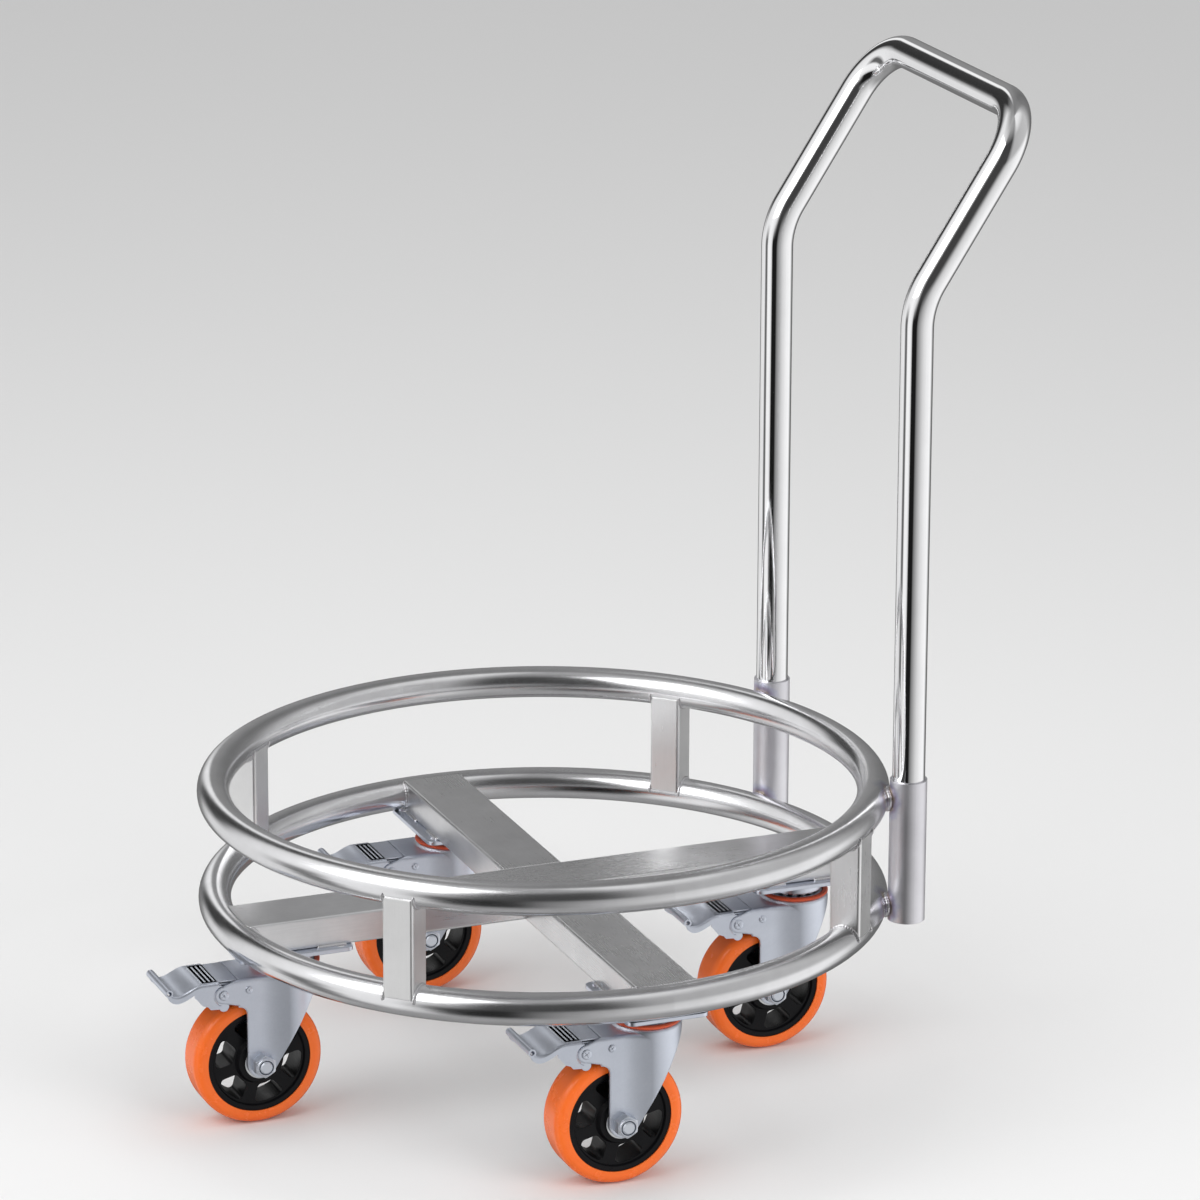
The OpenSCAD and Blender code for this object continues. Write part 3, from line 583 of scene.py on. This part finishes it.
def stake_mark(centre, reach, side):
    """Cross pressed up on a rivet's head by the staking tool."""
    face = centre + Vector((side * RIVET_FACE, 0, 0))
    parts = []
    for turn in (35, 125):
        a = math.radians(turn)
        along = Vector((0, math.cos(a), math.sin(a)))
        across = Vector((0, -math.sin(a), math.cos(a)))
        verts = []
        for lift, scale in ((-0.0002, 1.0), (0.00022, 0.55)):
            for u, v in ((-1, -1), (1, -1), (1, 1), (-1, 1)):
                verts.append(face + Vector((side * lift, 0, 0)) + along * u * reach * (0.6 + 0.4 * scale)
                    + across * v * reach * 0.24 * scale)
        faces = [(0, 3, 2, 1), (4, 5, 6, 7), (0, 1, 5, 4), (1, 2, 6, 5), (2, 3, 7, 6), (3, 0, 4, 7)]
        parts.append((verts, faces if side > 0 else [tuple(reversed(f)) for f in faces]))
    return join(parts)


# The run-out starts on the leg and ends on the drum. It follows the roof's bend and fades out under it
CHEEK_START_Y, CHEEK_END_Y = -0.027, -0.006
CHEEK_RUN = CHEEK_END_Y - CHEEK_START_Y
CHEEK_MARGIN, CHEEK_LIFT = 0.0002, 0.00004
ROOF_BEND, ROOF_FADE = 0.003, 0.0065
# Where the leg's slanted edge leaves its round foot (y, z), and how steeply it rises
SLANT_FOOT_Y, SLANT_FOOT_Z, SLANT_RISE = -0.01695, 0.0464, 1.795


def leg_foot(y):
    """Height of the fork leg's lower edge."""
    if y < SLANT_FOOT_Y:
        return AXLE.z - math.sqrt(max(0, LEG_END_R ** 2 - (y - AXLE.y) ** 2))
    return SLANT_FOOT_Z + SLANT_RISE * (y - SLANT_FOOT_Y)


def leg_swell(t):
    """How far the run-out stands off the leg's face: flat at the leg, on the drum's slope at its end."""
    end_x = math.sqrt(DRUM_R ** 2 - CHEEK_END_Y ** 2)
    end_slope = -CHEEK_END_Y / end_x
    blend = t * t * (3 - 2 * t)
    return blend * (end_x - LEG_FACE) + (t ** 3 - t * t) * CHEEK_RUN * end_slope


def leg_cheek(side, columns=16, rows=20):
    """Pressed run-out that takes the flat fork leg over into the round drum, on one side."""
    verts, faces = [], []
    for i in range(columns + 1):
        t = i / columns
        y = CHEEK_START_Y + CHEEK_RUN * t
        low = leg_foot(y) + CHEEK_MARGIN
        for j in range(rows + 1):
            z = low + (ROOF_TOP - CHEEK_MARGIN - low) * (1 - (1 - j / rows) ** 1.6)
            over_bend = max(0, z - (ROOF_TOP - ROOF_BEND))
            x = LEG_FACE - ROOF_BEND + math.sqrt(ROOF_BEND ** 2 - over_bend ** 2)
            x += leg_swell(t) * math.sqrt(max(0, 1 - (max(0, z - (ROOF_TOP - ROOF_FADE)) / ROOF_FADE) ** 2))
            verts.append(Vector((side * (x + CHEEK_LIFT), y, z)))
    for i in range(columns):
        for j in range(rows):
            a = i * (rows + 1) + j
            face = (a, a + rows + 1, a + rows + 2, a + 1)
            faces.append(face if side > 0 else tuple(reversed(face)))
    return verts, faces


# Brake pedal, drawn round its pin: u runs forward from the pin, heights are above it
PEDAL_HALF = 0.024
PEDAL_T = 0.002
PEDAL_BEND = 0.0022
BACK_U, FLAT_U, VALLEY_U, TIP_U = -0.0115, 0.01728, 0.03744, 0.048
PEDAL_TOP, VALLEY_DROP = 0.011, 0.0065
ROLL_R, ROLL_T, ROLL_FROM, ROLL_TO = 0.0031, 0.0013, -50, 265
ROLL_MIDDLE = (TIP_U - ROLL_R - 0.0009, 0.0076)
ROLL_PROUD = 0.0001
SHEET_START_U, SHEET_END_U, LIP_OVERLAP = 0.004, 0.0418, 0.002
EAR_X, EAR_R = 0.0199, 0.007
FLANGE_U, FLANGE_TOP, FLANGE_DEPTH = 0.002, 0.0088, 0.006
ARM_CUT_R, ARM_CUT_FROM, ARM_CUT_TO = 0.0085, 103.6, 256.4
# Outline of the flange's lobe between the round cut and the sheet's underside, as in the part's source
LOBE = [(0.002, -0.0085), (0.00425, -0.0105), (0.011, -0.010), (0.013, -0.0075), (0.01728, -0.006),
    (0.02178, -0.0005), (0.02328, 0.001)]
RIB_R, RIB_SINK, RIB_HALF = 0.0012, 0.00095, 0.019
RIB_FIRST_U, RIB_PITCH = 0.006, 0.0036


def face_height(u):
    """Height of the pedal's face: flat at the pin, down into a valley, then up to the lip."""
    if u < FLAT_U:
        return PEDAL_TOP
    if u < VALLEY_U:
        return PEDAL_TOP - VALLEY_DROP * (1 - math.cos(math.pi * (u - FLAT_U) / (VALLEY_U - FLAT_U))) / 2
    return PEDAL_TOP - VALLEY_DROP * math.cos(math.pi / 2 * (u - VALLEY_U) / (TIP_U - VALLEY_U))


def sheet_stops(start, end, count=22):
    """Places along the pedal at which its sheet is drawn."""
    return [start + (end - start) * i / count for i in range(count + 1)]


def prism(outline, x_from, x_to):
    """Closed solid from an outline of (u, height) stretched between two places along X."""
    n = len(outline)
    verts = [Vector((x, -u, z)) for x in (x_from, x_to) for u, z in outline]
    faces = [tuple(range(n)), tuple(reversed(range(n, 2 * n)))]
    faces += [(i, n + i, n + (i + 1) % n, (i + 1) % n) for i in range(n)]
    return verts, faces


def arc_points(middle, r, start, end, count):
    """Points of an arc in the pedal's side view, angles in degrees from straight back."""
    return [(middle[0] - r * math.cos(a), middle[1] + r * math.sin(a))
        for a in (math.radians(start + (end - start) * i / count) for i in range(count + 1))]


def pedal_face():
    """Sheet of the pedal with both side edges bent down in a round, swept along the face line."""
    section = [(-PEDAL_HALF, -PEDAL_BEND)]
    for i in range(1, 7):
        a = math.pi / 2 * i / 6
        section.append((-PEDAL_HALF + PEDAL_BEND * (1 - math.cos(a)), -PEDAL_BEND * (1 - math.sin(a))))
    section += [(-x, h) for x, h in reversed(section)]
    section += [(PEDAL_HALF - PEDAL_T, -PEDAL_BEND), (PEDAL_HALF - PEDAL_T, -PEDAL_T),
        (PEDAL_T - PEDAL_HALF, -PEDAL_T), (PEDAL_T - PEDAL_HALF, -PEDAL_BEND)]
    n = len(section)
    stops = sheet_stops(SHEET_START_U, SHEET_END_U)
    verts = [Vector((x, -u, face_height(u) + h)) for u in stops for x, h in section]
    faces = [tuple(range(n)), tuple(reversed(range(len(verts) - n, len(verts))))]
    for i in range(len(stops) - 1):
        for k in range(n):
            a, b = i * n + k, i * n + (k + 1) % n
            faces.append((a, a + n, b + n, b))
    return verts, faces


def flange_foot(u):
    """Height of the flange's lower edge, which runs up into the lip."""
    return face_height(u) - FLANGE_DEPTH * math.sqrt(1 - (max(0, u - VALLEY_U) / (TIP_U - VALLEY_U)) ** 4)


def pedal_flange():
    """Side flange seen from the side: round cut clear of the fork arm, lobe, then up to the rolled lip."""
    cut = arc_points((0, 0), ARM_CUT_R, ARM_CUT_FROM, ARM_CUT_TO, 18)
    under = [(u, flange_foot(u)) for u in sheet_stops(LOBE[-1][0], SHEET_END_U + LIP_OVERLAP)]
    round_the_lip = (arc_points(ROLL_MIDDLE, ROLL_R, 250, 195, 6)
        + arc_points(ROLL_MIDDLE, ROLL_R - ROLL_T, 195, 320, 12))
    over = [(u, face_height(u) - PEDAL_BEND) for u in reversed(sheet_stops(0.0, SHEET_END_U))]
    return [(FLANGE_U, FLANGE_TOP)] + cut + LOBE + under + round_the_lip + over


def brake_pedal():
    """Pedal from its face, the plate over the pin, the rolled lip, and a flange and an ear on each side."""
    plate = [(BACK_U, PEDAL_TOP), (FLAT_U, PEDAL_TOP), (FLAT_U, PEDAL_TOP - PEDAL_T),
        (BACK_U, PEDAL_TOP - PEDAL_T)]
    ear_top = PEDAL_TOP - PEDAL_T / 2
    ear = arc_points((0, 0), EAR_R, 0, -180, 20) + [(EAR_R, ear_top), (-EAR_R, ear_top)]
    roll = (arc_points(ROLL_MIDDLE, ROLL_R, ROLL_FROM, ROLL_TO, 40)
        + arc_points(ROLL_MIDDLE, ROLL_R - ROLL_T, ROLL_TO, ROLL_FROM, 40))
    parts = [pedal_face(), prism(plate, -EAR_X, EAR_X),
        prism(roll, -PEDAL_HALF - ROLL_PROUD, PEDAL_HALF + ROLL_PROUD)]
    for side in (-1, 1):
        parts.append(prism(pedal_flange(), *sorted((side * PEDAL_HALF, side * (PEDAL_HALF - PEDAL_T)))))
        parts.append(prism(ear, *sorted((side * EAR_X, side * (EAR_X - PEDAL_T)))))
    return join(parts)


def pedal_ribs():
    """Low grip ribs pressed across the flat of the pedal."""
    def rounded_end(k):
        return RIB_R * math.sqrt(min(1, (min(k, 24 - k) + 0.2) / 1.5))

    parts = []
    for i in range(4):
        u = RIB_FIRST_U + RIB_PITCH * i
        line = [Vector((-RIB_HALF + 2 * RIB_HALF * k / 24, -u, PEDAL_TOP - RIB_SINK)) for k in range(25)]
        parts.append(tube_along(line, rounded_end, 32))
    return join(parts)


nylon = plastic("nut_insert", (0.03, 0.04, 0.06), (0.05, 0.06, 0.09), 0.4, 0.1, 900, 0.1, edge=0.0)
for caster in CASTERS:
    swivel_body, pedal_body = caster + "_swivel", caster + "_pedal"
    mesh_piece(caster + "_nut_collar", *at_caster(caster, turned_profile(NUT_COLLAR)), nut_painted_highlight_zinc, swivel_body,
        "zinc_steel")
    mesh_piece(caster + "_nut_insert", *at_caster(caster, turned_profile(NUT_INSERT)), nylon, swivel_body,
        "black_core")
    pedal = mesh_piece(caster + "_pedal_sheet", *at_pin(caster, brake_pedal()), cheek_zinc, pedal_body,
        "zinc_steel")
    pedal.data.set_sharp_from_angle(angle=math.radians(32))
    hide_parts(caster + "_brake_pedal")
    mesh_piece(caster + "_pedal_ribs", *at_pin(caster, pedal_ribs()), rib_painted_light_zinc, pedal_body, "zinc_steel")
    cheeks = join([leg_cheek(side) for side in (-1, 1)])
    mesh_piece(caster + "_fork_cheeks", *at_caster(caster, cheeks), cheek_zinc, swivel_body, "zinc_steel")
    marks = join([stake_mark(centre, reach, side) for centre, reach in PINS for side in (-1, 1)])
    mesh_piece(caster + "_rivet_marks", *at_caster(caster, marks), zinc, swivel_body, "zinc_steel",
        smooth=False)


# ---------------------------------------------------------------- floor, world and lamps
def studio_floor():
    mesh = bpy.data.meshes.new("floor")
    size = 30
    mesh.from_pydata([(-size, -size, 0), (size, -size, 0), (size, size, 0), (-size, size, 0)], [],
        [(0, 1, 2, 3)])
    floor = bpy.data.objects.new("floor", mesh)
    bpy.context.collection.objects.link(floor)
    m, tree, shader = new_material("floor", 0.0)
    shader.inputs["Base Color"].default_value = (0.80, 0.80, 0.80, 1)
    shader.inputs["Roughness"].default_value = 0.8
    shader.inputs["Specular IOR Level"].default_value = 0.2
    mesh.materials.append(m)
    floor.visible_glossy = False


studio_floor()

world = bpy.data.worlds.new("world")
bpy.context.scene.world = world
world.use_nodes = True
wt = world.node_tree
wt.nodes.clear()
direction = wt.nodes.new("ShaderNodeSeparateXYZ")
wt.links.new(wt.nodes.new("ShaderNodeTexCoord").outputs["Generated"], direction.inputs[0])
# Angle round the object from the photograph's side, as 0 to 1 with 0.5 towards the camera
azimuth = math_node(wt, "ARCTAN2", direction.outputs[1], direction.outputs[0])
turned = math_node(wt, "SUBTRACT", azimuth, VIEW_AZIMUTH - math.pi / 2)
turn = math_node(wt, "FRACT", math_node(wt, "ADD", math_node(wt, "DIVIDE", turned, 2 * math.pi), 1.5))


def panels(stops):
    """Grey levels round the set, from stops of (degrees to the camera's right, level)."""
    return ramp_node(wt, turn, [(angle / 360 + 0.5, level) for angle, level in stops])


def mix_levels(fac, below, above):
    n = wt.nodes.new("ShaderNodeMix")
    n.data_type = "RGBA"
    wt.links.new(fac, n.inputs["Factor"])
    wt.links.new(below, n.inputs["A"])
    wt.links.new(above, n.inputs["B"])
    return n.outputs["Result"]


def rising(*elevations):
    """Factor that goes from 0 to 1 between two elevations, in degrees."""
    low, high = [math.sin(math.radians(e)) for e in elevations]
    return math_node(wt, "MULTIPLY", math_node(wt, "SUBTRACT", direction.outputs[2], low), 1 / (high - low),
        clamp=True)


# Panels below eye level, which upright tubes mirror, panels above it, and the plain floor and ceiling
low_panels = panels([(-180, 0.16), (-150, 0.20), (-143, 0.75), (-100, 0.85), (-90, 0.13), (-78, 0.13),
    (-70, 0.95), (-50, 0.92), (-42, 0.70), (-36, 0.01), (-8, 0.01), (0, 0.20), (25, 0.50), (45, 0.72),
    (75, 0.90), (112, 1.0), (126, 0.45), (136, 0.15), (180, 0.16)])
high_panels = panels([(-180, 0.26), (-170, 0.26), (-166, 0.95), (-158, 0.95), (-154, 0.05), (-132, 0.03),
    (-118, 0.80), (-60, 1.0), (-38, 0.75), (-22, 0.05), (22, 0.05), (40, 0.45), (110, 0.55), (135, 0.20),
    (155, 0.16), (180, 0.26)])
floor_level = panels([(-180, 0.28), (0, 0.38), (180, 0.28)])
ceiling = panels([(-180, 0.20), (-60, 0.42), (25, 0.30), (50, 0.85), (105, 0.85), (130, 0.26), (180, 0.20)])
seen = mix_levels(rising(-62, -38), floor_level, low_panels)
seen = mix_levels(rising(-6, 8), seen, high_panels)
seen = mix_levels(rising(48, 72), seen, ceiling)
rays = wt.nodes.new("ShaderNodeLightPath")
plain = wt.nodes.new("ShaderNodeBackground")
plain.inputs["Color"].default_value = (0.62, 0.62, 0.62, 1)
pale = wt.nodes.new("ShaderNodeBackground")
pale.inputs["Color"].default_value = (0.80, 0.80, 0.80, 1)
studio = wt.nodes.new("ShaderNodeBackground")
wt.links.new(seen, studio.inputs["Color"])
to_glossy = wt.nodes.new("ShaderNodeMixShader")
wt.links.new(rays.outputs["Is Glossy Ray"], to_glossy.inputs[0])
wt.links.new(plain.outputs[0], to_glossy.inputs[1])
wt.links.new(studio.outputs[0], to_glossy.inputs[2])
to_camera = wt.nodes.new("ShaderNodeMixShader")
wt.links.new(rays.outputs["Is Camera Ray"], to_camera.inputs[0])
wt.links.new(to_glossy.outputs[0], to_camera.inputs[1])
wt.links.new(pale.outputs[0], to_camera.inputs[2])
world_out = wt.nodes.new("ShaderNodeOutputWorld")
wt.links.new(to_camera.outputs[0], world_out.inputs[0])


def area_lamp(name, place, target, size, power, mirrored=False):
    data = bpy.data.lights.new(name, "AREA")
    data.shape = "RECTANGLE"
    data.size, data.size_y = size
    data.energy = power
    lamp = bpy.data.objects.new(name, data)
    bpy.context.collection.objects.link(lamp)
    lamp.location = place
    lamp.rotation_euler = (Vector(target) - Vector(place)).to_track_quat("-Z", "Y").to_euler()
    lamp.visible_glossy = mirrored


def round_the_set(angle, distance, height):
    """Place at an angle from the camera's side, to the camera's right when above 0, in degrees."""
    a = VIEW_AZIMUTH + math.radians(angle)
    return (distance * math.sin(a), -distance * math.cos(a), height)


MIDDLE = (0, 0, 0.3)
area_lamp("key_lamp", round_the_set(-55, 2.6, 2.6), MIDDLE, (2.6, 2.6), 46, mirrored=True)
area_lamp("fill_lamp", round_the_set(50, 2.8, 1.6), MIDDLE, (1.6, 1.8), 30)
area_lamp("top_lamp", (0, 0, 3.2), MIDDLE, (2.2, 2.2), 24)

scene = bpy.context.scene
scene.view_settings.view_transform = "Standard"
